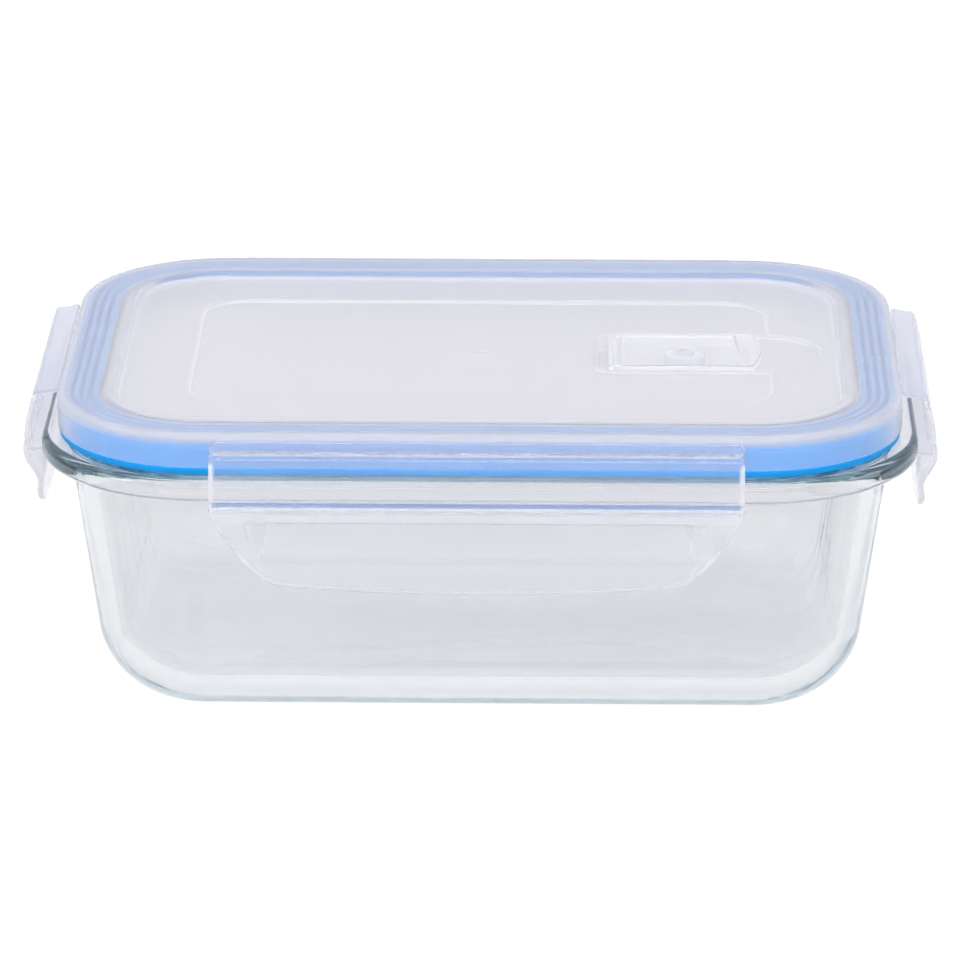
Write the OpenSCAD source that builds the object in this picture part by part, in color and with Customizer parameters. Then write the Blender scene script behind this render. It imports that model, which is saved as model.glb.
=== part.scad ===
// Glass lunch box with a clip lid.
// A thick glass box with a rim flange carries a clear plastic lid. A silicone ring in the
// lid's channel sits on the rim. Four latches hang from the lid on thin hinge strips and
// hook under the flange, and a small flap with a plug closes the lid's vent.
// Origin: centre of the base, on the surface that the box stands on. +Z up, X along the length.

/* [Glass box] */
// Length over the rim flange
glass_l = 180; // [165:1:200]
// Width over the rim flange
glass_w = 130; // [115:1:145]
// Height to the top of the rim
glass_h = 57; // [45:1:75]
// Corner radius of the rim flange in plan
rim_corner_r = 34; // [32:0.5:38]
// Thickness of the rim flange
rim_t = 4.8; // [4.4:0.1:5.6]
// How far the rim flange stands out from the wall below it
rim_out = 5.9; // [5:0.1:6.5]
// Radius of the flange's outer edges
rim_edge_r = 2; // [1.4:0.1:2.1]
// Radius of the mouth's inner edge
mouth_edge_r = 1.5; // [0.8:0.1:2]
// Thickness of the glass wall
wall_t = 4.3; // [3.4:0.1:4.8]
// Thickness of the glass floor
floor_t = 5; // [4:0.1:7]
// Draft angle of the walls
wall_draft = 8; // [5:0.5:9]
// Radius between wall and base, outside
base_r = 17.7; // [15:0.1:18.5]
// Radius between wall and floor, inside
floor_r = 13.5; // [11:0.1:14]

/* [Lid] */
// How far the lid's edge stays inside the flange's edge
lid_inset = 3.4; // [3:0.1:3.8]
// Gap between the rim and the lid's skirt, where the seal shows
skirt_gap = 1.5; // [1:0.1:2]
// Height of the lid's skirt, to the top face
skirt_h = 7.3; // [6.5:0.1:9]
// Thickness of the skirt and of the locating wall
skirt_t = 1.3; // [1:0.1:1.5]
// Thickness of the lid's rim plate
rim_plate_t = 1.5; // [1.2:0.1:1.8]
// Radius of the lid's top outer edge
lid_edge_r = 2; // [1:0.1:2.4]
// Width of the raised rim, from the lid's edge to the step
lid_rim_w = 11.9; // [11:0.1:13]
// Depth of the panel below the rim
panel_drop = 1.6; // [1.2:0.1:2.2]
// Thickness of the panel
panel_t = 1.6; // [1.3:0.1:1.9]
// Run of the slope from the rim down to the panel
step_run = 0.7; // [0.4:0.1:1.2]
// How far the locating wall reaches into the glass
locate_depth = 2.5; // [1.5:0.1:5]
// Gap between the locating wall and the mouth of the glass
locate_gap = 2.4; // [1.8:0.1:2.6]
// Length of the shallow field in the panel
field_l = 120; // [108:1:124]
// Width of the shallow field in the panel
field_w = 70; // [60:1:76]
// Corner radius of the field
field_r = 10; // [7:0.5:14]
// Depth of the field
field_depth = 0.8; // [0.4:0.1:1.1]
// Radius of the moulding gate's mark at the panel's centre
gate_r = 1.6; // [1:0.1:2.5]
// Height of the gate's mark
gate_h = 0.25; // [0.1:0.05:0.4]

/* [Seal] */
// Clearance between the seal and the walls of its channel
seal_fit = 0.05; // [0.03:0.01:0.1]
// Gap between the seal and the rim of the glass
seal_seat = 0.05; // [0.02:0.01:0.1]
// How far the seal's lip stands out under the skirt
seal_lip = 1; // [0.4:0.1:1.2]
// Number of grooves in the seal's top
groove_n = 3; // [2:1:4]
// Width of a groove
groove_w = 0.7; // [0.4:0.1:1]
// Depth of a groove
groove_d = 0.6; // [0.3:0.1:1]

/* [Latches] */
// Length of the front and back latches
latch_l = 106; // [90:1:110]
// Length of the left and right latches
side_latch_l = 60; // [50:1:62]
// Height of a latch, from its hinge down to its tip
latch_h = 30; // [27:0.5:32]
// Thickness of a latch's wall
latch_t = 1.3; // [1:0.1:1.5]
// How far a latch's hinge line stands outside the flange
hinge_out = 1.5; // [1.2:0.1:2]
// How far a latch's plate stands outside the flange, above the ridge
plate_out = 3.8; // [3.2:0.1:4.2]
// Depth of the groove above the ridge
latch_groove_d = 0.4; // [0.2:0.05:0.5]
// Height of the groove above the ridge
latch_groove_h = 0.7; // [0.4:0.1:1]
// How far a latch's ridge stands outside the flange
ridge_out = 4.3; // [4:0.1:5]
// Height of the ridge
ridge_h = 3.6; // [2.6:0.1:4]
// Drop from the flange's underside to the ridge's lower edge
ridge_drop = 2.8; // [2.6:0.1:3.4]
// How far the neck below the ridge stands outside the flange
neck_out = 2.2; // [1.8:0.1:3]
// How far the tip stands outside the flange
tip_out = 2.8; // [2:0.1:3.4]
// Depth of the finger recess under the ridge
recess_depth = 2.4; // [1:0.1:2.6]
// Height of the finger recess
recess_h = 9; // [7:0.1:10]
// Length that a latch's end keeps outside its finger recess
recess_end = 9.5; // [7:0.1:14]
// Radius of a latch's lower corners
latch_corner_r = 13; // [9:0.5:15]
// How far a latch's lower edge bows down at its middle
latch_bow = 3; // [1:0.1:4]
// How far a hook reaches in under the flange
hook_reach = 0.9; // [0.5:0.05:1]
// Gap between a hook and the flange's underside
hook_gap = 0.3; // [0.2:0.05:0.6]
// Height of a hook at its root
hook_h = 2; // [1.4:0.1:2.4]
// How far a hook runs past each end of its latch
hook_past = 0.8; // [0:0.1:1.2]
// Radius of the hinge beads at both edges of a hinge strip
bead_r = 0.45; // [0.35:0.05:0.5]
// Running gap at the hinge beads
bead_gap = 0.05; // [0.03:0.01:0.1]
// Thickness of a hinge strip between its beads
strip_t = 0.7; // [0.5:0.05:0.8]
// Drop of a hinge strip from the lid to the latch
strip_drop = 0.8; // [0.4:0.1:1.2]

/* [Vent] */
// Place of the vent plug along the length
vent_x = 42.5; // [38:0.5:44]
// Length of the vent flap
flap_l = 32; // [28:0.5:33]
// Width of the vent flap
flap_w = 22.6; // [18:0.2:26]
// Thickness of the vent flap
flap_t = 1.4; // [1.1:0.1:1.8]
// How far the flap's free end bows out
flap_bow = 2; // [1:0.1:4]
// Gap between the flap's sides and the well
flap_gap = 0.9; // [0.5:0.1:1.4]
// Gap between the flap's hinge end and the well
slot_w = 2.3; // [1.8:0.1:3]
// Depth of the vent well, below the panel
well_depth = 5.2; // [4.6:0.1:6.5]
// Thickness of the well's walls and floor
well_t = 1.3; // [1:0.1:1.6]
// Outer corner radius of the well
well_r = 4; // [2:0.5:6]
// Width of the ledge under the flap's free end
ledge_w = 2.2; // [1.6:0.1:3]
// Gap under the flap's free end
flap_seat = 0.1; // [0.05:0.05:0.3]
// Distance from the flap's hinge end to its pivot
pivot_in = 1.5; // [1.3:0.1:2]
// Radius of the flap's pivot pins
pivot_r = 0.8; // [0.6:0.05:0.9]
// Radius of the barrel along the flap's pivot
barrel_r = 1.2; // [1.1:0.05:1.4]
// Running clearance round the pivot pins
pivot_fit = 0.06; // [0.02:0.01:0.1]
// How far a pivot pin enters the well's wall
pivot_bite = 0.7; // [0.4:0.1:0.8]
// Radius of the thumb scoop beside the flap
scoop_r = 12; // [9:0.5:13]
// Depth of the thumb scoop
scoop_depth = 1.2; // [0.8:0.1:1.5]
// Radius of the vent hole
vent_r = 3; // [2.4:0.1:3.6]
// Gap between the plug's nose and the vent hole
nose_gap = 0.4; // [0.35:0.05:0.6]
// How far the plug's shoulder reaches past the vent hole
shoulder_w = 1.2; // [0.8:0.1:2]
// Gap between the plug's shoulder and the well's floor
plug_seat = 0.05; // [0.03:0.01:0.2]
// Radius of the flap's boss that carries the plug
boss_r = 2; // [1.5:0.1:2.2]
// Clearance between the plug and the boss
boss_fit = 0.02; // [0.01:0.01:0.05]

/* [Hidden] */

$fn = 96;
ARC_STEPS = 8;      // segments in a rounded edge of a profile
BOW_STEPS = 16;     // segments in a long shallow curve
CUT = 1;            // how far a cutter runs past the faces that it opens
SINK = 0.1;         // how far one solid is sunk into another that it joins
GLASS = [0.80, 0.88, 0.87, 0.45];
PLASTIC = [0.87, 0.88, 0.93, 0.75];
SILICONE = [0.05, 0.50, 0.90];
CLEAR_SILICONE = [0.90, 0.92, 0.95];

// Centres of the plan's four corners. Every profile is swept round them, and a profile's
// first coordinate is the distance out from the line through these centres.
corner_x = glass_l / 2 - rim_corner_r;
corner_y = glass_w / 2 - rim_corner_r;

// Glass
rim_z = glass_h - rim_t;
wall_top_r = rim_corner_r - rim_out;
inner_top_r = wall_top_r - wall_t / cos(wall_draft) + rim_t * tan(wall_draft);

// Lid
lid_r = rim_corner_r - lid_inset;
skirt_z = glass_h + skirt_gap;
lid_z = skirt_z + skirt_h;
roof_z = lid_z - rim_plate_t;
channel_out_r = lid_r - skirt_t;
channel_in_r = inner_top_r - locate_gap;
locate_z = glass_h - locate_depth;
step_r = lid_r - lid_rim_w;
panel_r = step_r - step_run;
panel_z = lid_z - panel_drop;
field_z = panel_z - field_depth;
under_z = field_z - panel_t;

// Latches: distances out are from the flange's edge
strip_in = bead_r + bead_gap - lid_inset;
hinge_z = roof_z - bead_gap;
latch_hinge_z = hinge_z - strip_drop;
latch_top_z = latch_hinge_z - bead_r - bead_gap;
tip_z = latch_hinge_z - latch_h;
hook_z = rim_z - hook_gap;
ridge_z = rim_z - ridge_drop;
ridge_top_z = ridge_z + ridge_h;
recess_z = ridge_z - recess_h;

// Vent
flap_x0 = vent_x - flap_l / 2;
flap_x1 = flap_x0 + flap_l;
flap_top_z = panel_z + 0.3;
flap_z = flap_top_z - flap_t;
pivot_x = flap_x0 + pivot_in;
pivot_z = flap_z - 0.2;
well_z = panel_z - well_depth;
well_floor_z = well_z + well_t;
well_x0 = flap_x0 - slot_w;
well_x1 = flap_x1 - ledge_w;
well_in_w = flap_w + 2 * flap_gap;
ledge_z = flap_z - flap_seat;
scoop_x = flap_x1 + 0.4;
scoop_z = panel_z - scoop_depth;
shoulder_r = vent_r + shoulder_w;

// Points on an arc from angle a0 to angle a1 about [x, z]
function arc(x, z, r, a0, a1, n = ARC_STEPS) =
    [for (i = [0:n]) let (a = a0 + (a1 - a0) * i / n) [x + r * cos(a), z + r * sin(a)]];

// Outline of a rectangle with round corners, centred on the origin
function round_rect(l, w, r) = concat(
    arc(l / 2 - r, w / 2 - r, r, 0, 90),
    arc(r - l / 2, w / 2 - r, r, 90, 180),
    arc(r - l / 2, r - w / 2, r, 180, 270),
    arc(l / 2 - r, r - w / 2, r, 270, 360));

// Distance out of the centre of a round of radius r that touches a level face at height z
// and, from inside, the wall line that lies depth t behind the outer wall face
function fillet_r(r, z, t) =
    wall_top_r + (-(r + t) + (z + r - rim_z) * sin(wall_draft)) / cos(wall_draft);

// A profile of [distance out, height] points swept round the plan's rounded rectangle
module sweep(points) {
    for (side = [0, 1]) {
        mirror([0, side, 0]) translate([0, corner_y, 0])
            rotate([90, 0, 90]) linear_extrude(2 * corner_x, center = true) polygon(points);
        mirror([side, 0, 0]) translate([corner_x, 0, 0])
            rotate([90, 0, 0]) linear_extrude(2 * corner_y, center = true) polygon(points);
        for (end = [0, 1])
            mirror([side, 0, 0]) mirror([0, end, 0]) translate([corner_x, corner_y, 0])
                rotate_extrude(angle = 90) polygon(points);
    }
}

// The middle of a swept piece, between the lines through the corner centres
module middle(z, t) {
    translate([-corner_x, -corner_y, z]) cube([2 * corner_x, 2 * corner_y, t]);
}

// A solid of constant section [y, z], length l along X
module bar(points, l) {
    rotate([90, 0, 90]) linear_extrude(l, center = true) polygon(points);
}

// Moves a part that is built with its outside to +Y onto one of the four sides
module on_side(name) {
    turn = name == "back" ? 0 : name == "left" ? 90 : name == "front" ? 180 : 270;
    reach = name == "front" || name == "back" ? glass_w / 2 : glass_l / 2;
    rotate([0, 0, turn]) translate([0, reach, 0]) children();
}

module glass_box() {
    outer_r = fillet_r(base_r, 0, 0);
    inner_r = fillet_r(floor_r, floor_t, wall_t);
    profile = concat(
        [[0, 0]],
        arc(outer_r, base_r, base_r, -90, -wall_draft),
        [[wall_top_r, rim_z]],
        arc(rim_corner_r - rim_edge_r, rim_z + rim_edge_r, rim_edge_r, -90, 0),
        arc(rim_corner_r - rim_edge_r, glass_h - rim_edge_r, rim_edge_r, 0, 90),
        arc(inner_top_r + mouth_edge_r, glass_h - mouth_edge_r, mouth_edge_r, 90,
            180 - wall_draft),
        arc(inner_r, floor_t + floor_r, floor_r, -wall_draft, -90),
        [[0, floor_t]]);
    color(GLASS) {
        sweep(profile);
        middle(0, floor_t);
    }
}

module lid_shell() {
    profile = concat(
        [[0, panel_z - panel_t], [0, panel_z], [panel_r, panel_z], [step_r, lid_z]],
        arc(lid_r - lid_edge_r, lid_z - lid_edge_r, lid_edge_r, 90, 0),
        [[lid_r, skirt_z], [channel_out_r, skirt_z], [channel_out_r, roof_z],
         [channel_in_r, roof_z], [channel_in_r, locate_z],
         [channel_in_r - skirt_t, locate_z], [channel_in_r - skirt_t, roof_z],
         [panel_r + step_run / 2, roof_z], [panel_r - step_run, panel_z - panel_t]]);
    sweep(profile);
    middle(panel_z - panel_t, panel_t);
}

// The shallow field: a tray whose floor is as thick as the panel
module field(z, t, grow) {
    translate([0, 0, z]) linear_extrude(t)
        polygon(round_rect(field_l + 2 * grow, field_w + 2 * grow, field_r + grow));
}

// A block with round corners, between two places along X and of width w
module pocket(x0, x1, w, r, z0, z1) {
    translate([(x0 + x1) / 2, 0, z0]) linear_extrude(z1 - z0)
        polygon(round_rect(x1 - x0, w, r));
}

module lid_panel() {
    color(PLASTIC) difference() {
        union() {
            difference() {
                union() {
                    lid_shell();
                    field(under_z, panel_z - under_z - SINK, panel_t);
                }
                field(field_z, panel_z - field_z + CUT, 0);
            }
            pocket(well_x0 - well_t, well_x1 + well_t, well_in_w + 2 * well_t, well_r,
                well_z, panel_z);
            translate([scoop_x, 0, scoop_z - panel_t])
                cylinder(r = scoop_r + panel_t, h = panel_z - scoop_z + panel_t - SINK);
            translate([0, 0, field_z - SINK]) cylinder(r = gate_r, h = gate_h + SINK);
        }
        pocket(well_x0, well_x1, well_in_w, well_r - well_t, well_floor_z, panel_z + CUT);
        pocket(vent_x, scoop_x, well_in_w, well_r - well_t, ledge_z, panel_z + CUT);
        translate([scoop_x, 0, scoop_z]) intersection() {
            cylinder(r = scoop_r, h = scoop_depth + CUT);
            translate([-ledge_w, -scoop_r, 0])
                cube([scoop_r + ledge_w, 2 * scoop_r, scoop_depth + CUT]);
        }
        translate([vent_x, 0, well_z - CUT]) cylinder(r = vent_r, h = well_t + 2 * CUT);
        translate([pivot_x, 0, pivot_z]) rotate([90, 0, 0])
            cylinder(r = pivot_r + pivot_fit, h = well_in_w + 2 * (pivot_bite + bead_gap),
                center = true);
    }
}

module seal_ring() {
    in_r = channel_in_r + seal_fit;
    out_r = channel_out_r - seal_fit;
    low_z = glass_h + seal_seat;
    top_z = roof_z - seal_fit;
    lip_r = out_r + seal_lip;
    lip_z = skirt_z - seal_fit;
    pitch = (out_r - in_r) / (groove_n + 1);
    grooves = [for (i = [groove_n:-1:1]) let (r = in_r + i * pitch) each [
        [r + groove_w / 2, top_z], [r, top_z - groove_d], [r - groove_w / 2, top_z]]];
    color(SILICONE) sweep(concat(
        [[in_r, low_z], [lip_r, low_z], [lip_r, lip_z], [out_r, lip_z], [out_r, top_z]],
        grooves,
        [[in_r, top_z]]));
}

// A thin strip with a round bead along each long edge, one on each fold line
module hinge_strip(l) {
    folds = [[strip_in, hinge_z], [hinge_out, latch_hinge_z]];
    up = [0, strip_t / 2];
    bar([folds[0] + up, folds[1] + up, folds[1] - up, folds[0] - up], l);
    for (fold = folds)
        translate([0, fold[0], fold[1]]) rotate([0, 90, 0])
            cylinder(r = bead_r, h = l, center = true);
}

// Outer face of a latch from its hinge down to the lower edge of the ridge
function upper_face() = [
    [hinge_out + latch_t / 2, latch_top_z],
    [plate_out, ridge_top_z + latch_groove_h],
    [plate_out - latch_groove_d, ridge_top_z + latch_groove_h / 2],
    [plate_out, ridge_top_z],
    [ridge_out, ridge_top_z - latch_groove_h],
    [ridge_out, ridge_z]];

// Outer face of a latch from the foot of the finger recess down to the tip
function lower_face() = [
    [tip_out, recess_z],
    [tip_out, (recess_z + tip_z) / 2],
    [tip_out - latch_t / 4, tip_z]];

// Outer face at a latch's ends, and in its middle, where the finger recess is
function end_face() = concat(upper_face(), [
    [(ridge_out + neck_out) / 2, ridge_z - recess_h / 4],
    [neck_out, ridge_z - recess_h / 2]], lower_face());
function recess_face() = let (floor_out = ridge_out - recess_depth) concat(upper_face(), [
    [floor_out, ridge_z - latch_t / 2],
    [floor_out, ridge_z - recess_h / 2]], lower_face());

// A wall of thickness t behind an outer face
function wall_behind(face, t) = concat(face,
    [for (i = [len(face) - 1:-1:0]) face[i] - [t, 0]]);

// Front view of a latch: round lower corners and a lower edge that bows down
function latch_outline(l) =
    let (half = l / 2,
        low_z = tip_z + latch_bow,
        flat = half - latch_corner_r,
        bow_r = (flat * flat + latch_bow * latch_bow) / (2 * latch_bow),
        sweep_a = asin(flat / bow_r))
    concat(
        [[half, latch_hinge_z + CUT], [-half, latch_hinge_z + CUT]],
        arc(-flat, low_z + latch_corner_r, latch_corner_r, 180, 262, BOW_STEPS),
        arc(0, tip_z + bow_r, bow_r, 270 - sweep_a, 270 + sweep_a, BOW_STEPS),
        arc(flat, low_z + latch_corner_r, latch_corner_r, 278, 360, BOW_STEPS));

module latch(l) {
    middle_l = l - 2 * recess_end;
    intersection() {
        union() {
            bar(wall_behind(recess_face(), latch_t), middle_l);
            for (end = [-1, 1]) {
                translate([end * (l - recess_end) / 2, 0, 0])
                    bar(wall_behind(end_face(), latch_t), recess_end);
                translate([end * (middle_l + latch_t) / 2, 0, 0])
                    bar(concat(end_face(), [for (i = [len(recess_face()) - 1:-1:0])
                        recess_face()[i] - [latch_t, 0]]), latch_t);
            }
        }
        rotate([90, 0, 0]) linear_extrude(4 * ridge_out, center = true)
            polygon(latch_outline(l));
    }
    hook_root = ridge_out - latch_t / 2;
    bar([[hook_root, hook_z], [-hook_reach, hook_z], [-hook_reach, hook_z - hook_h / 3],
        [hook_root, hook_z - hook_h]], l + 2 * hook_past);
}

module front_hinge_strip() color(PLASTIC) on_side("front") hinge_strip(latch_l);
module back_hinge_strip() color(PLASTIC) on_side("back") hinge_strip(latch_l);
module left_hinge_strip() color(PLASTIC) on_side("left") hinge_strip(side_latch_l);
module right_hinge_strip() color(PLASTIC) on_side("right") hinge_strip(side_latch_l);

module front_latch() color(PLASTIC) on_side("front") latch(latch_l);
module back_latch() color(PLASTIC) on_side("back") latch(latch_l);
module left_latch() color(PLASTIC) on_side("left") latch(side_latch_l);
module right_latch() color(PLASTIC) on_side("right") latch(side_latch_l);

module vent_flap() {
    half = flap_w / 2;
    bow_r = (half * half + flap_bow * flap_bow) / (2 * flap_bow);
    bow_a = asin(half / bow_r);
    color(PLASTIC) {
        translate([0, 0, flap_z]) linear_extrude(flap_t) polygon(concat(
            [[flap_x0, half], [flap_x0, -half]],
            arc(flap_x1 - bow_r, 0, bow_r, -bow_a, bow_a, BOW_STEPS)));
        translate([pivot_x, 0, pivot_z]) rotate([90, 0, 0]) {
            cylinder(r = barrel_r, h = flap_w, center = true);
            cylinder(r = pivot_r, h = well_in_w + 2 * pivot_bite, center = true);
        }
        translate([vent_x, 0, well_floor_z + plug_seat + shoulder_w])
            cylinder(r = boss_r, h = flap_z + CUT / 2 - well_floor_z - plug_seat - shoulder_w);
    }
}

module vent_plug() {
    low_z = well_floor_z + plug_seat;
    color(CLEAR_SILICONE) translate([vent_x, 0, 0]) difference() {
        union() {
            translate([0, 0, low_z]) cylinder(r = shoulder_r, h = flap_z - boss_fit - low_z);
            translate([0, 0, well_z]) cylinder(r1 = vent_r - 2 * nose_gap, r2 = vent_r - nose_gap,
                h = low_z - well_z);
        }
        translate([0, 0, low_z + shoulder_w - boss_fit])
            cylinder(r = boss_r + boss_fit, h = flap_z);
    }
}

glass_box();
lid_panel();
seal_ring();
front_hinge_strip();
back_hinge_strip();
left_hinge_strip();
right_hinge_strip();
front_latch();
back_latch();
left_latch();
right_latch();
vent_flap();
vent_plug();
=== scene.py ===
import math

import bpy
import numpy as np
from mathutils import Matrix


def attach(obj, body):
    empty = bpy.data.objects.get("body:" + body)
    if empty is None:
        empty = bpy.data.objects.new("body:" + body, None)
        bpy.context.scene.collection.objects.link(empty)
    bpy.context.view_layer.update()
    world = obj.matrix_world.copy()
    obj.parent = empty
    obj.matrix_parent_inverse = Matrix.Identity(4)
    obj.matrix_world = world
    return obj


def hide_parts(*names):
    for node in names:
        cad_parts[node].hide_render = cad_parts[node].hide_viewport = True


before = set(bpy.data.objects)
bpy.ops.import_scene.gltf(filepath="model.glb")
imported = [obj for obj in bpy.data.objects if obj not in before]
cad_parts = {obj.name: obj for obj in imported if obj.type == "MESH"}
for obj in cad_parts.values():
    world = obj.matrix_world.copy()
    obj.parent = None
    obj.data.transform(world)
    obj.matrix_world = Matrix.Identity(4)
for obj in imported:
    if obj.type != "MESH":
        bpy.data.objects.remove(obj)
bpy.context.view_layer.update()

# Looks for the glass lunch box: every piece of glass, plastic and silicone is a smooth moulded surface
# that stands for its CAD node. Lengths are in millimetres here and become metres in new_object.

MM = 0.001

# Centres of the plan's corners. A profile's first value is the distance out from the line through them.
CORNER_X = 56.0
CORNER_Y = 31.0

# Glass box
GLASS_H = 57.0
RIM_Z = 52.2
RIM_R = 34.0
WALL_R = 28.1
DRAFT = 8.0
BASE_R = 17.7
BASE_IN = 5.377
FLOOR_Z = 5.0
FLOOR_R = 13.5
FLOOR_IN = 5.389
MOUTH_R = 24.432

# Lid
LID_Z = 65.8
LID_R = 30.6
SKIRT_Z = 58.5
ROOF_Z = 64.3
CHANNEL_OUT = 29.3
CHANNEL_IN = 22.032
SKIRT_T = 1.3
LOCATE_Z = 54.5
STEP_R = 18.7
PANEL_R = 18.0
PANEL_Z = 64.2
PANEL_T = 1.6
FIELD_X = 60.0
FIELD_Y = 35.0
FIELD_R = 10.0
FIELD_Z = 63.4

# Seal
SEAL_IN = 22.08
SEAL_OUT = 29.25
SEAL_LIP = 30.25
SEAL_Z = 57.05
SEAL_LIP_Z = 58.45
SEAL_TOP = 64.25
SHOULDER = 28.45
SHOULDER_Z = 62.5
GROOVES = (27.46, 25.67, 23.87)
GROOVE_HALF = 0.5
GROOVE_DEEP = 1.1

# Latches: distances out are from the flange's edge
LONG_HALF = 53.6
SHORT_HALF = 30.0
LATCH_T = 1.3
LATCH_TOP = 62.95
TIP_Z = 33.45
SHORT_TIP_UP = 1.6
LATCH_RUN = 14.0
LATCH_DROP = 16.2
LATCH_BOW = 3.1
LATCH_GROOVE_Z = 53.3
RECESS_TOP_Z = 49.4
RECESS_LOW_Z = 40.4
STRIP_IN = -2.9
STRIP_IN_Z = 64.25
STRIP_OUT = 1.5
STRIP_OUT_Z = 63.45
BEAD_R = 0.45
STRIP_T = 0.7
HOOK_Z = 51.9
HOOK_PAST = 0.3

# Vent
VENT_X = 42.5
FLAP_X0 = 26.5
FLAP_X1 = 58.5
FLAP_Y = 11.3
FLAP_BOW = 2.0
FLAP_Z = 63.1
FLAP_TOP = 64.5
PIVOT_X = 28.0
PIVOT_Z = 62.9
WELL_X0 = 24.2
WELL_X1 = 56.3
WELL_Y = 12.2
WELL_R = 2.7
WELL_T = 1.3
WELL_Z = 59.0
WELL_FLOOR_Z = 60.3
LEDGE_Z = 63.0
SCOOP_X = 58.9
SCOOP_R = 12.0
SCOOP_Z = 63.0
VENT_R = 3.0
PIN_R = 0.8
BARREL_R = 1.2
BOSS_R = 2.0


# ---------------------------------------------------------------------------------------------- shapes


def bend_corners(rows, bend, steps=5, loop=False):
    """Rounds the corners of a run of rows. Each corner P gives way to the curve
    (1 - t)^2 A + 2 t (1 - t) P + t^2 B, where A and B lie a length `bend` before and after it, and never
    past 0.45 of a side. Lengths are read from the first and last columns, the way out and the height."""
    rows = np.asarray(rows, float)
    before = np.roll(rows, 1, axis=0)
    after = np.roll(rows, -1, axis=0)
    back, ahead = (np.maximum(np.hypot(v[:, 0], v[:, -1]), 1e-9) for v in (before - rows, after - rows))
    reach = np.minimum(bend, 0.45 * np.minimum(back, ahead))
    start = rows + (before - rows) * (reach / back)[:, None]
    end = rows + (after - rows) * (reach / ahead)[:, None]
    t = np.linspace(0, 1, steps + 1)[None, :, None]
    curve = (1 - t) ** 2 * start[:, None] + 2 * t * (1 - t) * rows[:, None] + t**2 * end[:, None]
    if loop:
        run = curve.reshape(-1, rows.shape[1])
        return run[np.any(np.abs(run - np.roll(run, 1, axis=0)) > 1e-6, axis=1)]
    run = np.concatenate([rows[:1], curve[1:-1].reshape(-1, rows.shape[1]), rows[-1:]])
    return run[np.append(True, np.any(np.abs(np.diff(run, axis=0)) > 1e-6, axis=1))]


def arc(x, z, r, a0, a1, n=10):
    """Points at x + r cos a, z + r sin a, with the angle a going evenly from a0 to a1 degrees."""
    a = np.radians(np.linspace(a0, a1, n + 1))
    return np.column_stack([x + r * np.cos(a), z + r * np.sin(a)])


def concentric(profile):
    """Turns [distance out, height] points into rounded-rectangle rows about the four corner centres."""
    r, z = np.asarray(profile, float).T
    return np.column_stack([CORNER_X + r, CORNER_Y + r, r, z])


def round_rows(profile):
    """Turns [radius, height] points into rows of circles, which are rounded rectangles with no sides."""
    r, z = np.asarray(profile, float).T
    return np.column_stack([r, r, r, z])


def rings(rows, centre=(0.0, 0.0), n_corner=20, n_side=10):
    """A grid of rings, one for each row [half length, half width, corner radius, height]. Once round
    anticlockwise, a point is S (half size - r) + r N. The corner sign S slides evenly from one corner to
    the next along a side, where the direction N stands still, and N turns a quarter round each corner."""
    signs = np.array([[1, 1], [-1, 1], [-1, -1], [1, -1]], float)
    turn = np.radians(np.linspace(0, 90, n_corner + 1)[None] + 90 * np.arange(4)[:, None])
    slide = np.linspace(0, 1, n_side + 1)[1:-1][None, :, None]
    at_corner = np.repeat(signs[:, None], n_corner + 1, axis=1)
    on_side = signs[:, None] * (1 - slide) + np.roll(signs, -1, axis=0)[:, None] * slide
    s = np.concatenate([at_corner, on_side], axis=1).reshape(-1, 2)
    way = np.concatenate([turn, np.repeat(turn[:, -1:], n_side - 1, axis=1)], axis=1).reshape(-1)
    n = np.column_stack([np.cos(way), np.sin(way)])
    rows = np.asarray(rows, float)
    half, r, z = rows[:, None, :2], rows[:, None, 2:3], rows[:, None, 3:4]
    flat = s[None] * (half - r) + r * n[None] + np.asarray(centre, float)
    return np.concatenate([flat, np.broadcast_to(z, flat.shape[:2] + (1,))], axis=2)


def skin(grid, loop=False):
    """Covers a grid of rings with quads. A loop's last ring joins its first. Otherwise each end is closed
    by a fan about the mean of its ring, so that the first ring faces back and the last faces on."""
    m, k = grid.shape[:2]
    i = np.arange(m if loop else m - 1)[:, None]
    j = np.arange(k)[None]
    i2, j2 = (i + 1) % m, (j + 1) % k
    quads = np.stack(np.broadcast_arrays(i * k + j, i * k + j2, i2 * k + j2, i2 * k + j), -1).reshape(-1, 4)
    verts = grid.reshape(-1, 3)
    if loop:
        return verts, quads, np.zeros((0, 3), int)
    verts = np.concatenate([verts, grid[:1].mean(axis=1), grid[-1:].mean(axis=1)])
    j, j2 = j[0], j2[0]
    first = np.column_stack([np.full(k, m * k), j2, j])
    last = np.column_stack([np.full(k, m * k + 1), (m - 1) * k + j, (m - 1) * k + j2])
    return verts, quads, np.concatenate([first, last])


def join(*solids):
    """Puts several closed skins into one, each keeping its own points."""
    starts = np.cumsum([0] + [len(s[0]) for s in solids])
    return (
        np.concatenate([s[0] for s in solids]),
        np.concatenate([s[1] + n for s, n in zip(solids, starts)]),
        np.concatenate([s[2] + n for s, n in zip(solids, starts)]),
    )


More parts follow.
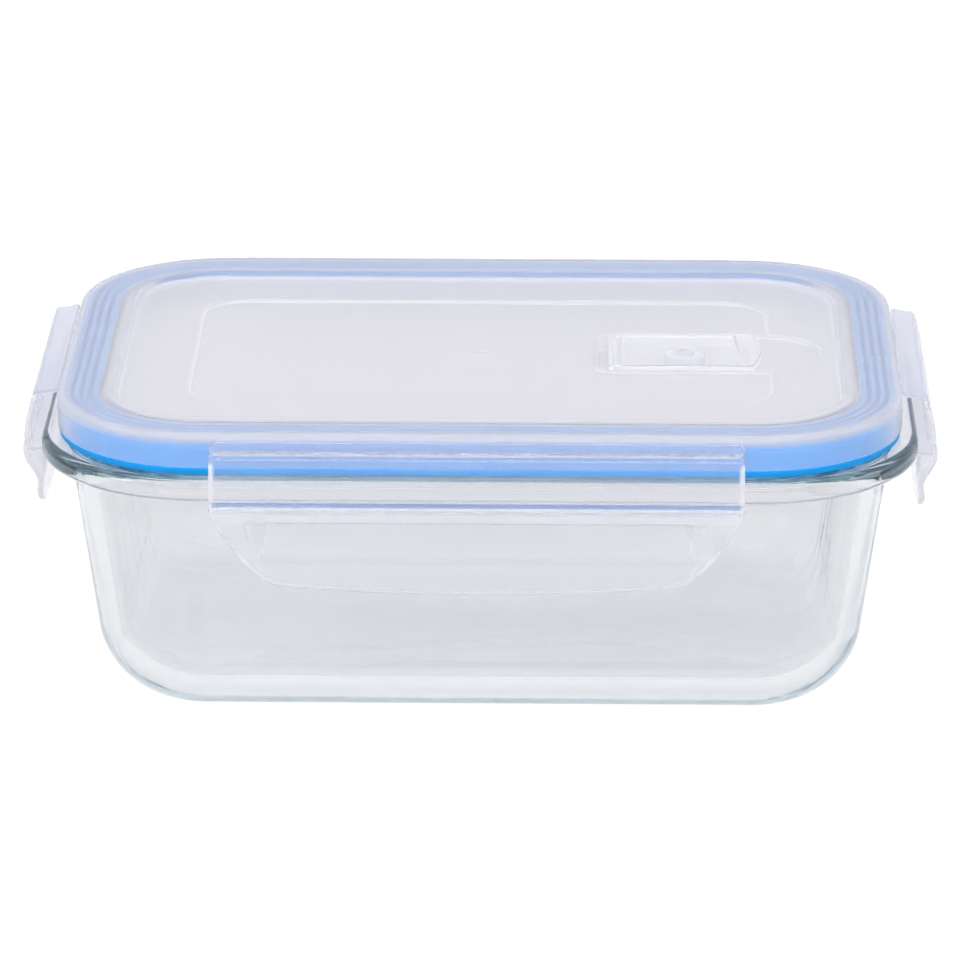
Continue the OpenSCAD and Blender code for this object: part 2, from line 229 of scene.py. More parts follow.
def rod(section, x0, x1, end, steps=5):
    """A bar of one cross-section, a ring of [out, height] points run anticlockwise, along X from x0 to x1.
    Towards each end it shrinks about its middle by sin p while x moves by end (1 - cos p), with p from
    nearly 0 to a quarter turn, which rounds the end off."""
    section = np.asarray(section, float)
    p = np.linspace(0.12, np.pi / 2, steps + 1)
    inner = np.linspace(x0 + end, x1 - end, 9)[1:-1]
    size = np.concatenate([np.sin(p), np.ones(len(inner)), np.sin(p)[::-1]])
    x = np.concatenate([x0 + end * (1 - np.cos(p)), inner, x1 - end * (1 - np.cos(p))[::-1]])
    middle = section.mean(axis=0)
    flat = middle + (section - middle)[None] * size[:, None, None]
    grid = np.concatenate([np.broadcast_to(x[:, None, None], flat.shape[:2] + (1,)), flat], axis=2)
    return skin(grid)


def turn_to_side(solid, reach, side):
    """Takes a piece made with its outside towards +Y to one of the box's sides: out by reach, the
    flange's half size there, and then quarter turns about Z, (x, y) -> (-y, x)."""
    v, quads, tris = solid
    v = v + [0, reach, 0]
    for _ in range(("back", "left", "front", "right").index(side)):
        v = np.column_stack([-v[:, 1], v[:, 0], v[:, 2]])
    return v, quads, tris


# ---------------------------------------------------------------------------------------------- materials


class Wire:
    """A socket that carries a number. An expression on it adds the Math nodes that work it out."""

    def __init__(self, finish, socket):
        self.finish = finish
        self.socket = socket

    def maths(self, operation, a, b):
        return self.finish.node("ShaderNodeMath", {"operation": operation}, {0: a, 1: b})

    def __add__(self, other):
        return self.maths("ADD", self, other)

    def __radd__(self, other):
        return self.maths("ADD", other, self)

    def __sub__(self, other):
        return self.maths("SUBTRACT", self, other)

    def __rsub__(self, other):
        return self.maths("SUBTRACT", other, self)

    def __mul__(self, other):
        return self.maths("MULTIPLY", self, other)

    def __rmul__(self, other):
        return self.maths("MULTIPLY", other, self)

    def __truediv__(self, other):
        return self.maths("DIVIDE", self, other)

    def __rtruediv__(self, other):
        return self.maths("DIVIDE", other, self)

    def __pow__(self, other):
        return self.maths("POWER", self, other)

    def clamped(self):
        """The number kept between 0 and 1."""
        return self.maths("MINIMUM", self.maths("MAXIMUM", self, 0.0), 1.0)

    def absolute(self):
        """The number without its sign."""
        return self.maths("ABSOLUTE", self, 0.0)


class Finish:
    """A node tree, of a material or of the world, with one way to add a node."""

    def __init__(self, owner):
        owner.use_nodes = True
        self.owner = owner
        self.tree = owner.node_tree
        self.tree.nodes.clear()

    def node(self, kind, settings=None, values=None, out=0):
        """Adds a node of a type, makes its settings first, then gives its sockets values or links."""
        node = self.tree.nodes.new(kind)
        for name, value in (settings or {}).items():
            if name == "stops":
                ramp = node.color_ramp
                for n, (place, colour) in enumerate(value):
                    stop = ramp.elements[n] if n < 2 else ramp.elements.new(place)
                    stop.position = place
                    stop.color = colour
            else:
                setattr(node, name, value)
        for name, value in (values or {}).items():
            if isinstance(value, Wire):
                self.tree.links.new(value.socket, node.inputs[name])
            else:
                node.inputs[name].default_value = value
        return Wire(self, node.outputs[out]) if node.outputs else None

    def noise(self, scale, detail=2.0, stretch=(1.0, 1.0, 1.0)):
        """Noise on the piece's own metres, so that scale is the number of features in a metre."""
        place = self.node("ShaderNodeTexCoord", out="Object")
        place = self.node("ShaderNodeMapping", {}, {"Vector": place, "Scale": stretch})
        return self.node("ShaderNodeTexNoise", {}, {"Vector": place, "Scale": scale, "Detail": detail})

    def blend(self, factor, a, b):
        """A colour that goes from a to b as factor goes from 0 to 1."""
        return self.node(
            "ShaderNodeMix", {"data_type": "RGBA"}, {"Factor": factor, "A": a, "B": b}, out=2
        )

    def bump(self, height, distance):
        """A normal tilted by a height in units of distance metres."""
        return self.node("ShaderNodeBump", {}, {"Height": height, "Distance": distance})

    def part_of(self, vector, axis):
        """One of a vector's three numbers."""
        return self.node("ShaderNodeSeparateXYZ", {}, {"Vector": vector}, out=axis)

    def ray(self, kind):
        """1 for rays of one kind, such as Is Camera Ray, and 0 for the rest."""
        return self.node("ShaderNodeLightPath", out=kind)

    def lets_light_in(self, body, share):
        """Gives rays from the lamps a straight way through a clear surface, dimmed to the share given."""
        straight = self.node("ShaderNodeBsdfTransparent", {}, {"Color": (share, share, share, 1.0)})
        return self.node("ShaderNodeMixShader", {}, {0: self.ray("Is Shadow Ray"), 1: body, 2: straight})


def new_finish(name):
    return Finish(bpy.data.materials.new(name))


def rgb(r, g, b):
    """A colour given as it looks, 0 to 255, taken to the linear values that a shader wants."""
    c = np.array([r, g, b]) / 255.0
    c = np.where(c <= 0.04045, c / 12.92, ((c + 0.055) / 1.055) ** 2.4)
    return (float(c[0]), float(c[1]), float(c[2]), 1.0)


def pressed_glass():
    """Clear pressed glass: slight waves left by the mould, a few seeds, and a green-blue tint with depth."""
    f = new_finish("pressed_glass")
    waves = f.noise(22.0, 1.0, (1.0, 1.0, 0.35))
    ripple = f.noise(140.0, 2.0, (1.0, 1.0, 0.3))
    wear = f.noise(60.0, 4.0)
    skin_bump = f.bump(waves * 1.0 + ripple * 0.05, 0.0007)
    body = f.node(
        "ShaderNodeBsdfPrincipled",
        {},
        {
            "Base Color": f.blend(wear, (0.890, 0.886, 0.905, 1.0), (0.920, 0.916, 0.930, 1.0)),
            "Roughness": wear * 0.02,
            "IOR": 1.51,
            "Transmission Weight": 1.0,
            "Normal": skin_bump,
        },
    )
    depth = f.node(
        "ShaderNodeVolumeAbsorption", {}, {"Color": (0.04, 0.44, 0.52, 1.0), "Density": 4.2}
    )
    f.node("ShaderNodeOutputMaterial", {}, {"Surface": f.lets_light_in(body, 0.88), "Volume": depth})
    return f.owner


PLASTIC_IOR = 1.47
# Painted shade along the latches' notch, blue as the seal seen dark through it: the clear tint and the cloud
# there.
GROOVE_PAINTED_SHADE = rgb(120, 160, 226)
GROOVE_PAINTED_SHADE_CLOUD = rgb(140, 172, 232)


def milky_plastic(name, rough, milk, tint, cloud, more, slanting, steps):
    """Translucent moulded plastic. A share of the light is scattered both ways by the cloud in it, and the
    rest goes through. The share is milk, and what more(finish) adds, and slanting times the cube of how
    far the surface turns away, and a painted highlight from steps, which whitens steep little walls."""
    f = new_finish(name)
    flow = f.noise(28.0, 3.0, (0.35, 1.0, 1.0))
    grain = f.noise(2600.0, 2.0)
    peel = f.noise(420.0, 2.0)
    surface = f.bump(peel * 0.6 + grain * 0.4, 0.000003)
    gloss = rough * (0.8 + flow * 0.4)
    # Painted shade: a blue-grey line along the latch's notch, read from its points.
    groove = f.node("ShaderNodeAttribute", {"attribute_name": "groove"}, out="Fac")
    clear = f.node(
        "ShaderNodeBsdfPrincipled",
        {},
        {
            "Base Color": f.blend(groove * (flow * 0.4 + 0.7), tint, GROOVE_PAINTED_SHADE),
            "Roughness": gloss,
            "IOR": PLASTIC_IOR,
            "Transmission Weight": 1.0,
            "Normal": surface,
        },
    )
    # Painted highlight: where steps is given, steep little walls are whitened and made milkier.
    upright = f.part_of(f.node("ShaderNodeTexCoord", out="Normal"), "Z").absolute()
    steep = ((1.0 - upright) * 2.5).clamped()
    steps = steep * (steps(f) if callable(steps) else steps)
    glow = f.node("ShaderNodeBsdfTranslucent", {}, {"Color": cloud})
    cloud = f.blend(steps, cloud, rgb(255, 255, 255))
    cloud = f.blend(groove * 0.8, cloud, GROOVE_PAINTED_SHADE_CLOUD)
    lit = f.node(
        "ShaderNodeBsdfPrincipled",
        {},
        {"Base Color": cloud, "Roughness": gloss + 0.1, "IOR": PLASTIC_IOR, "Normal": surface},
    )
    milky = f.node("ShaderNodeMixShader", {}, {0: 0.5, 1: lit, 2: glow})
    slant = f.node("ShaderNodeLayerWeight", {}, {"Blend": 0.5}, out="Facing")
    amount = slant**3.0 * slanting + (flow * 0.04 + milk) + steps * 0.25
    if more:
        amount = amount + more(f)
    body = f.node("ShaderNodeMixShader", {}, {0: amount.clamped(), 1: clear, 2: milky})
    f.node("ShaderNodeOutputMaterial", {}, {"Surface": f.lets_light_in(body, 0.85)})
    return f.owner


def place_on_box(f):
    """Distance out from the line through the corner centres, and height, both in mm. With a and b how far
    x and y are past the corner centres, or 0, the distance out is sqrt(a^2 + b^2)."""
    place = f.node("ShaderNodeTexCoord", out="Object")
    past = []
    for axis, centre in (("X", CORNER_X), ("Y", CORNER_Y)):
        along = f.part_of(place, axis).absolute() - centre * MM
        past.append(along.maths("MAXIMUM", along, 0.0))
    out = (past[0] * past[0] + past[1] * past[1]) ** 0.5
    return out * 1000.0, f.part_of(place, "Z") * 1000.0


def lid_milk(f):
    """More milk where the lid is thick or matt. The panel is matt inside its step. The locating wall, the
    roof of the channel and the skirt with its round upper edge are thick; that upper edge's milk is partly a
    painted highlight."""
    r, z = place_on_box(f)
    panel = ((PANEL_R + 0.4 - r) * 1.6).clamped()
    wall = (1.0 - ((r - 20.3) ** 2.0) * 0.30).clamped()
    roof = ((r - 21.5) * 2.0).clamped() * ((29.0 - r) * 2.0).clamped()
    skirt = (r - CHANNEL_OUT).clamped()
    # Partly thickness and partly painted highlight: the whitish band along the lid's round upper edge.
    upper_edge = (r - (CHANNEL_OUT - 1.0)).clamped() * ((z - (ROOF_Z - 1.0)) * 1.2).clamped()
    return panel * 0.36 + wall * 0.38 + roof * 0.14 + skirt * 0.22 + upper_edge * 0.42


def lid_steps(f):
    """Where the lid's small steps catch the light: in from the locating wall."""
    return ((20.0 - place_on_box(f)[0]) * 1.5).clamped() * 0.9


def painted_milk(f):
    """More milk where the piece's own milk attribute says so; on the latches this is partly painted
    highlight.
    """
    return f.node("ShaderNodeAttribute", {"attribute_name": "milk"}, out="Fac")


def silicone(name, colour, shade, clear, rough, grooved=False):
    """Soft silicone rubber: satin, with light that wanders under the skin and a faint bloom of dust. The
    grooved ring has painted shade: a little darker on its top, and darker still down in its grooves."""
    f = new_finish(name)
    cloud = f.noise(90.0, 3.0)
    if grooved:
        r, z = place_on_box(f)
        # Painted shade down in the seal's three grooves.
        painted_seal_groove_shade = [(1.25 - (r - g).absolute() / GROOVE_HALF).clamped() for g in GROOVES]
        painted_seal_groove_shade = (painted_seal_groove_shade[0] + painted_seal_groove_shade[1] + painted_seal_groove_shade[2]) * ((z - 62.0) * 2.0).clamped()
        # Painted shade: the seal's top a little darker, against the light that falls on it.
        top = ((z - 63.0) * 2.0).clamped()
        shade = f.blend(painted_seal_groove_shade, f.blend(top, shade, rgb(0, 138, 206)), rgb(0, 70, 156))
        colour = f.blend(painted_seal_groove_shade, f.blend(top, colour, rgb(0, 146, 214)), rgb(0, 76, 164))
    grain = f.noise(3200.0, 2.0)
    surface = f.bump(grain * 0.5 + cloud * 0.5, 0.00008)
    body = f.node(
        "ShaderNodeBsdfPrincipled",
        {},
        {
            "Base Color": f.blend(cloud, colour, shade),
            "Roughness": rough + cloud * 0.12,
            "IOR": 1.41,
            "Transmission Weight": clear,
            "Specular IOR Level": 0.3,
            "Subsurface Weight": 0.25,
            "Subsurface Radius": (0.4, 0.8, 1.6),
            "Subsurface Scale": 0.0012,
            "Normal": surface,
        },
    )
    f.node("ShaderNodeOutputMaterial", {}, {"Surface": body})
    return f.owner


GLASS = pressed_glass()
CLEAR_TINT = rgb(252, 252, 254)
LID_PLASTIC = milky_plastic(
    "frosted_lid", rough=0.16, milk=0.05, tint=CLEAR_TINT, cloud=rgb(228, 227, 232),
    more=lid_milk, slanting=0.35, steps=lid_steps,
)
LATCH_PLASTIC = milky_plastic(
    "clear_latch", rough=0.10, milk=0.035, tint=CLEAR_TINT, cloud=rgb(248, 248, 252),
    more=painted_milk, slanting=0.32, steps=0.0,
)
# Painted shade: the hinge strips are a darker, bluer copy of the latches' plastic.
SHADED_FOLD_PLASTIC = milky_plastic(
    "fold_painted_shade", rough=0.10, milk=0.05, tint=rgb(238, 240, 248), cloud=rgb(226, 227, 238),
    more=painted_milk, slanting=0.20, steps=0.0,
)
FLAP_PLASTIC = milky_plastic(
    "clear_flap", rough=0.10, milk=0.10, tint=CLEAR_TINT, cloud=rgb(240, 240, 244),
    more=None, slanting=0.35, steps=0.9,
)
SEAL_BLUE = silicone("seal_blue", rgb(0, 162, 240), rgb(0, 150, 230), clear=0.0, rough=0.42, grooved=True)
PLUG_MILK = silicone("plug_milk", rgb(236, 238, 244), rgb(228, 231, 240), clear=0.5, rough=0.36)


# ---------------------------------------------------------------------------------------------- making


def new_object(name, solid):
    """Puts a skin of millimetre points into a Blender mesh in metres."""
    verts, quads, tris = solid
    mesh = bpy.data.meshes.new(name)
    mesh.from_pydata((verts * MM).tolist(), [], quads.tolist() + tris.tolist())
    mesh.update()
    obj = bpy.data.objects.new(name, mesh)
    bpy.context.scene.collection.objects.link(obj)
    return obj


def paint(obj, name, values):
    """Gives each point of the mesh a number under a name that its material can read."""
    obj.data.attributes.new(name, "FLOAT", "POINT").data.foreach_set("value", np.asarray(values, np.float32))


def combine(obj, other, operation):
    """Joins or cuts one mesh by another for good, and throws the other away."""
    modifier = obj.modifiers.new("combine", "BOOLEAN")
    modifier.solver = "EXACT"
    modifier.operation = operation
    modifier.object = other
    bpy.context.view_layer.update()
    made = bpy.data.meshes.new_from_object(obj.evaluated_get(bpy.context.evaluated_depsgraph_get()))
    obj.modifiers.clear()
    old, obj.data = obj.data, made
    bpy.data.meshes.remove(old)
    bpy.data.objects.remove(other)


def finish_piece(obj, body, node, material, sharp):
    """Smooths a made object up to an angle, gives it its material, hangs it on its body's empty and hides
    its CAD node."""
    mesh = obj.data
    mesh.polygons.foreach_set("use_smooth", np.ones(len(mesh.polygons), bool))
    mesh.set_sharp_from_angle(angle=math.radians(sharp))
    mesh.materials.clear()
    mesh.materials.append(material)
    shading = obj.modifiers.new("even_shading", "WEIGHTED_NORMAL")
    shading.mode = "FACE_AREA"
    shading.weight = 100
    shading.keep_sharp = True
    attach(obj, body)
    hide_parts(node)


# ---------------------------------------------------------------------------------------------- glass


def glass_solid():
    """The box's section, swept round the plan: level base, round foot, drafted wall, flange with two round
    edges, round mouth, drafted inside and round floor corner. It runs up the outside and down inside."""
    draft = math.radians(DRAFT)
    profile = np.concatenate([
        [[0.6, 0.0], [3.0, 0.0]],
        arc(BASE_IN, BASE_R, BASE_R, -90, -DRAFT, 20),
        bend_corners(
            [
                [BASE_IN + BASE_R * math.cos(draft), BASE_R * (1 - math.sin(draft))],
                [WALL_R, RIM_Z],
                [RIM_R - 2.0, RIM_Z],
            ],
            1.1,
            6,
        )[1:-1],
        arc(RIM_R - 2.0, RIM_Z + 2.0, 2.0, -90, 0, 8),
        arc(RIM_R - 2.0, GLASS_H - 2.0, 2.0, 0, 90, 8),
        arc(MOUTH_R + 1.5, GLASS_H - 1.5, 1.5, 90, 180 - DRAFT, 8),
        arc(FLOOR_IN, FLOOR_Z + FLOOR_R, FLOOR_R, -DRAFT, -90, 20),
        [[3.0, FLOOR_Z], [0.6, FLOOR_Z]],
    ])
    return skin(rings(concentric(profile), n_corner=32, n_side=16))


# ---------------------------------------------------------------------------------------------- lid


def lid_shell():
    """The lid's section as rounded-rectangle rows, from the middle of its underside out to the skirt and
    back over the top to the middle: tray under the field, locating wall, seal channel, skirt, raised rim,
    step down to the panel, and the shallow field."""
    under = np.array([
        [20.0, 12.0, 4.0, FIELD_Z - PANEL_T],
        [FIELD_X + 1.0, FIELD_Y + 1.0, FIELD_R + 1.0, FIELD_Z - PANEL_T],
        [FIELD_X + 1.9, FIELD_Y + 1.9, FIELD_R + 1.9, PANEL_Z - PANEL_T],
    ])
    wall_in = CHANNEL_IN - SKIRT_T
    outside = concentric([
        [17.3, PANEL_Z - PANEL_T],
        [18.35, ROOF_Z],
        [wall_in, ROOF_Z],
        [wall_in, LOCATE_Z],
        [CHANNEL_IN, LOCATE_Z],
        [CHANNEL_IN, ROOF_Z],
        [CHANNEL_OUT, ROOF_Z],
        [CHANNEL_OUT, SKIRT_Z],
        [LID_R, SKIRT_Z],
        [LID_R, LID_Z],
        [STEP_R, LID_Z],
        [PANEL_R, PANEL_Z],
    ])
    top = np.array([
        [FIELD_X + 0.3, FIELD_Y + 0.3, FIELD_R + 0.3, PANEL_Z],
        [FIELD_X - 0.5, FIELD_Y - 0.5, FIELD_R - 0.5, FIELD_Z],
        [20.0, 12.0, 4.0, FIELD_Z],
    ])
    bend = [0, 0.4, 0.4, 0.3, 0.25, 0.6, 0.5, 0.5, 0.3, 0.3, 0.25, 0.5, 2.1, 0.75, 0.45, 0.8, 0.35, 0]
    return skin(rings(bend_corners(np.concatenate([under, outside, top]), bend, 6), n_corner=28, n_side=14))


def flared(x0, x1, half_y, r, z0, z1, z_skin, foot, lip):
    """A cutter or block with round corners. Its lower edge is rounded by foot, and above the height
    z_skin - lip it widens at 45 degrees, so that what it cuts gets a soft edge at z_skin."""
    half_x = (x1 - x0) / 2
    rows = [
        [half_x * 0.4, half_y * 0.4, r * 0.4, z0],
        [half_x, half_y, r, z0],
        [half_x, half_y, r, z_skin - lip],
        [half_x + (z1 - z_skin + lip), half_y + (z1 - z_skin + lip), r + (z1 - z_skin + lip), z1],
        [half_x * 0.4, half_y * 0.4, r * 0.4, z1],
    ]
    rows = bend_corners(rows, [0, foot, lip * 0.5, 0, 0], 4)
    return skin(rings(rows, ((x0 + x1) / 2, 0.0), n_corner=8, n_side=6))


def rounded_block(x0, x1, half_y, r, z0, z1, foot):
    """A block with round corners and an edge rounded by foot round its lower face."""
    half_x = (x1 - x0) / 2
    rows = [
        [half_x * 0.4, half_y * 0.4, r * 0.4, z0],
        [half_x, half_y, r, z0],
        [half_x, half_y, r, z1],
        [half_x * 0.4, half_y * 0.4, r * 0.4, z1],
    ]
    rows = bend_corners(rows, [0, foot, 0, 0], 4)
    return skin(rings(rows, ((x0 + x1) / 2, 0.0), n_corner=8, n_side=6))


def disc(profile, x, n=14):
    """A turned solid: [radius, height] points, up the outside, spun round the upright line at x."""
    return skin(rings(round_rows(profile), (x, 0.0), n_corner=n, n_side=1))


def pin_along_y(radius, reach, bend, x, z):
    """A round pin along Y through x, z, from -reach to reach, its end edges rounded by bend. Its section
    starts at a quarter of the radius, and the skin's fans close the flat ends."""
    profile = [[radius / 4, -reach], [radius, -reach], [radius, reach], [radius / 4, reach]]
    return along_y(disc(bend_corners(profile, [0, bend, bend, 0]), 0.0, n=8), x, z)


def along_y(solid, x, z):
    """Lays a turned solid down, its axis along Y through x, z, by the cyclic swap (x, y, z) -> (y, z, x)."""
    v, quads, tris = solid
    return np.column_stack([v[:, 1] + x, v[:, 2], v[:, 0] + z]), quads, tris


def make_lid():
    """The lid's shell, with the well's tub, the scoop's bowl and the gate ring added. Then the vent's
    cavity, the ledge beside it, the thumb scoop, the vent hole and the pin's bore are cut from it."""
    lid = new_object("lid_moulding", lid_shell())
    tub = rounded_block(WELL_X0 - WELL_T, WELL_X1 + WELL_T, WELL_Y + WELL_T, 4.0, WELL_Z, PANEL_Z - 0.35, 0.7)
    combine(lid, new_object("tub", tub), "UNION")
    bowl = [[4, 61.4], [SCOOP_R + 1.6, 61.4], [SCOOP_R + 1.6, 63.9], [4, 63.9]]
    combine(lid, new_object("bowl", disc(bend_corners(bowl, [0, 0.5, 0, 0]), SCOOP_X)), "UNION")
    gate = [[0.5, 63.2], [1.9, 63.2], [1.8, 63.5], [1.55, 63.72], [1.15, 63.74], [0.85, 63.5], [0.4, 63.44]]
    combine(lid, new_object("gate", disc(gate, 0.0)), "UNION")
    cavity = flared(WELL_X0, WELL_X1, WELL_Y, WELL_R, WELL_FLOOR_Z, PANEL_Z + 1.0, PANEL_Z, 0.5, 0.3)
    combine(lid, new_object("cavity", cavity), "DIFFERENCE")
    ledge = flared(VENT_X, SCOOP_X, WELL_Y, WELL_R, LEDGE_Z, PANEL_Z + 1.0, PANEL_Z, 0.25, 0.3)
    combine(lid, new_object("ledge", ledge), "DIFFERENCE")
    scoop = [[4, SCOOP_Z], [SCOOP_R, SCOOP_Z], [SCOOP_R, PANEL_Z - 0.3], [SCOOP_R + 1.3, PANEL_Z + 1.0]]
    scoop = bend_corners(scoop + [[4, PANEL_Z + 1.0]], [0, 0.5, 0.15, 0, 0])
    scoop = new_object("scoop", disc(scoop, SCOOP_X, n=18))
    keep = rounded_block(WELL_X1, SCOOP_X + 20, SCOOP_R + 3, 1.0, SCOOP_Z - 1, PANEL_Z + 3, 0.0)
    combine(scoop, new_object("keep", keep), "INTERSECT")
    combine(lid, scoop, "DIFFERENCE")
    hole = [[1, 58.0], [VENT_R + 1.3, 58.0], [VENT_R, 59.3], [VENT_R, 60.1], [VENT_R + 0.6, 60.7], [1, 60.7]]
    hole = disc(bend_corners(hole, [0, 0, 0.1, 0.1, 0, 0]), VENT_X)
    combine(lid, new_object("hole", hole), "DIFFERENCE")
    bore = pin_along_y(PIN_R + 0.06, WELL_Y + 0.75, 0.0, PIVOT_X, PIVOT_Z)
    combine(lid, new_object("bore", bore), "DIFFERENCE")
    finish_piece(lid, "lid", "lid_panel", LID_PLASTIC, 32.0)


def seal_solid():
    """The seal's section as a loop: flat foot on the rim, lip that stands out under the skirt, back in to
    the channel, and three V grooves in the top, swept round the plan."""
    grooves = [
        [[r + GROOVE_HALF, SEAL_TOP], [r, SEAL_TOP - GROOVE_DEEP], [r - GROOVE_HALF, SEAL_TOP]]
        for r in GROOVES
    ]
    loop = np.concatenate([
        [[SEAL_IN, SEAL_Z], [SEAL_LIP, SEAL_Z], [SEAL_LIP, SEAL_LIP_Z], [SEAL_OUT, SEAL_LIP_Z]],
        [[SEAL_OUT, SHOULDER_Z], [SHOULDER, SEAL_TOP]],
        np.concatenate(grooves),
        [[SEAL_IN, SEAL_TOP]],
    ])
    bend = [0.4, 0.5, 0.4, 0.15, 0.7, 0.3] + [0.16, 0.25, 0.16] * 3 + [0.5]
    return skin(rings(concentric(bend_corners(loop, bend, 4, loop=True)), n_corner=28, n_side=10), loop=True)


# ---------------------------------------------------------------------------------------------- latches

# The outer face as [distance out, height] corners, and how far each corner is rounded
UPPER_FACE = [
    [2.15, LATCH_TOP], [3.4, 58.5], [3.9, 54.8], [3.85, 53.75], [3.45, 53.4], [3.85, 53.05], [4.25, 51.9],
]
LOWER_FACE = [[1.7, 42.2], [2.35, 39.6], [2.3, 37.0], [1.5, TIP_Z - 0.6]]
END_FACE = UPPER_FACE + [[4.15, 49.4], [3.2, 47.0], [2.1, 44.8]] + LOWER_FACE
RECESS_FACE = UPPER_FACE + [[4.2, 49.9], [1.95, 48.9], [1.7, 45.0]] + LOWER_FACE
END_BEND = [0, 2.2, 0.6, 0.2, 0.25, 0.2, 0.6, 1.0, 1.2, 1.2, 1.4, 1.2, 1.2, 0]
RECESS_BEND = [0, 2.2, 0.6, 0.2, 0.25, 0.2, 0.6, 0.35, 0.5, 1.6, 1.4, 1.2, 1.2, 0]


def latch_solid(half, tip):
    """A latch as a bent sheet, with milk and the notch's painted shade on its points; the milk is partly
    painted highlight. Its lower edge is
    z_low(x): at a distance d in from the end the corner has come down by
    LATCH_DROP (1 - (1 - d/LATCH_RUN)^1.5)^(2/3), and the middle bows down by LATCH_BOW (1 - (x/half)^2).
    Rows of points keep their height h over the edge where they can, and are squeezed along
    (h + sqrt(h^2 + soft^2)) / 2 where the edge comes up to them. The outer face is blended from the end's
    section to the finger recess's across the recess's sloped side walls. The thickness falls to nothing
    at the border as a half ellipse, edge sqrt(1 - (1 - d/edge)^2), which rounds every edge."""
    end_u, end_z = bend_corners(END_FACE, END_BEND, 6).T[:, ::-1]
    rec_u, rec_z = bend_corners(RECESS_FACE, RECESS_BEND, 6).T[:, ::-1]
    edge = LATCH_T / 2
    near = edge * (1 - np.cos(np.linspace(0, np.pi / 2, 6)))
    inward = np.concatenate([near, np.linspace(edge, LATCH_RUN, 46), np.linspace(LATCH_RUN, half, 52)])
    inward = np.unique(np.round(inward, 3))
    x = np.concatenate([-half + inward, (half - inward)[::-1][1:]])
    d_end = half - np.abs(x)
    corner = LATCH_DROP * (1 - (1 - np.minimum(d_end / LATCH_RUN, 1)) ** 1.5) ** (2 / 3)
    z_low = tip + LATCH_DROP + LATCH_BOW - corner - LATCH_BOW * (1 - (x / half) ** 2)
    lean = 1 / np.sqrt(1 + np.gradient(z_low, x) ** 2)
    base = np.concatenate([end_z, rec_z, np.linspace(TIP_Z, LATCH_TOP, 31), LATCH_TOP - near])
    base = np.unique(base)[::-1]
    base = base[(base > tip + 0.7) & np.append(True, np.diff(base) < -0.03)]
    height = base[None] - (z_low + edge)[:, None]
    soft = 1.2
    rows = (z_low + edge)[:, None] + (height + np.sqrt(height**2 + soft**2)) / 2
    rows = np.where(height > 6 * soft, base[None], rows)
    rows[:, 0] = LATCH_TOP
    z = np.concatenate([rows, z_low[:, None] + near[::-1][None]], axis=1)
    wide = np.clip((z - RECESS_LOW_Z) / (RECESS_TOP_Z - RECESS_LOW_Z), 0, 1)
    wall_out = half - 6.6 - 3.2 * (1 - wide)
    wall_in = half - 11.4 + 1.0 * (1 - wide)
    inside = np.clip((wall_out - np.abs(x)[:, None]) / (wall_out - wall_in), 0, 1)
    outer = np.interp(z, end_z, end_u) * (1 - inside) + np.interp(z, rec_z, rec_u) * inside
    d = np.minimum(d_end[:, None], (z - z_low[:, None]) * lean[:, None])
    d = np.minimum(d, LATCH_TOP - z)
    thick = edge * np.sqrt(1 - (1 - np.clip(d / edge, 0, 1)) ** 2)
    xs = np.broadcast_to(x[:, None], z.shape)
    front = np.stack([xs, outer - edge + thick, z], -1)
    back = np.stack([xs, outer - edge - thick, z], -1)
    n, m = z.shape
    border = np.ones((n, m), bool)
    border[1:-1, 1:-1] = False
    front_id = np.arange(n * m).reshape(n, m)
    back_id = np.where(border, front_id, n * m + np.cumsum(~border).reshape(n, m) - 1)
    a, b, c, e = front_id[:-1, :-1], front_id[1:, :-1], front_id[1:, 1:], front_id[:-1, 1:]
    front_quads = np.stack([a, b, c, e], -1).reshape(-1, 4)
    a, b, c, e = back_id[:-1, :-1], back_id[1:, :-1], back_id[1:, 1:], back_id[:-1, 1:]
    back_quads = np.stack([e, c, b, a], -1).reshape(-1, 4)
    verts = np.concatenate([front.reshape(-1, 3), back[~border]])
    # The painted milk is partly the plastic's own cloudiness and partly painted highlight: it whitens the
    # rounded border, the recess's side facets and the ridge, where light catches them, and clouds the lower
    # part.
    rim = np.clip(1.8 - d / edge, 0, 1) * (z < LATCH_TOP - 1.2)
    facet = np.sqrt(inside * (1 - inside) * 4)
    facet = facet * np.clip((z - RECESS_LOW_Z) / 2, 0, 1) * np.clip((50.0 - z) / 0.5, 0, 1)
    ridge = np.clip((51.9 - z) / 0.5, 0, 1) * np.clip((z - 49.3) / 0.5, 0, 1)
    low = np.clip((52.6 - z) / 1.2, 0, 1) * (0.27 - 0.09 * inside)
    milk = np.maximum.reduce([rim * 0.9, facet * 0.75, ridge * 0.42, low])
    # Painted shade: a blue-grey line along the notch below the flange, where the seal shows dark through it.
    groove = np.clip(1.8 - np.abs(z - LATCH_GROOVE_Z) / 0.42, 0, 1) * np.clip(d_end / 0.8, 0, 1)[:, None]
    milk = np.concatenate([milk.reshape(-1), milk[~border] * 0.5])
    groove = np.concatenate([groove.reshape(-1), 0 * groove[~border]])
    return (verts, np.concatenate([front_quads, back_quads]), np.zeros((0, 3), int)), milk, groove


def hook_solid(half):
    """The bar inside a latch that catches under the flange: a tapered section with round corners."""
    section = [[3.3, HOOK_Z], [-0.9, HOOK_Z], [-0.9, HOOK_Z - 0.5], [3.3, HOOK_Z - 0.9]]
    section = bend_corners(section, 0.2, 4, loop=True)
    return rod(section, -half - HOOK_PAST, half + HOOK_PAST, 1.6)


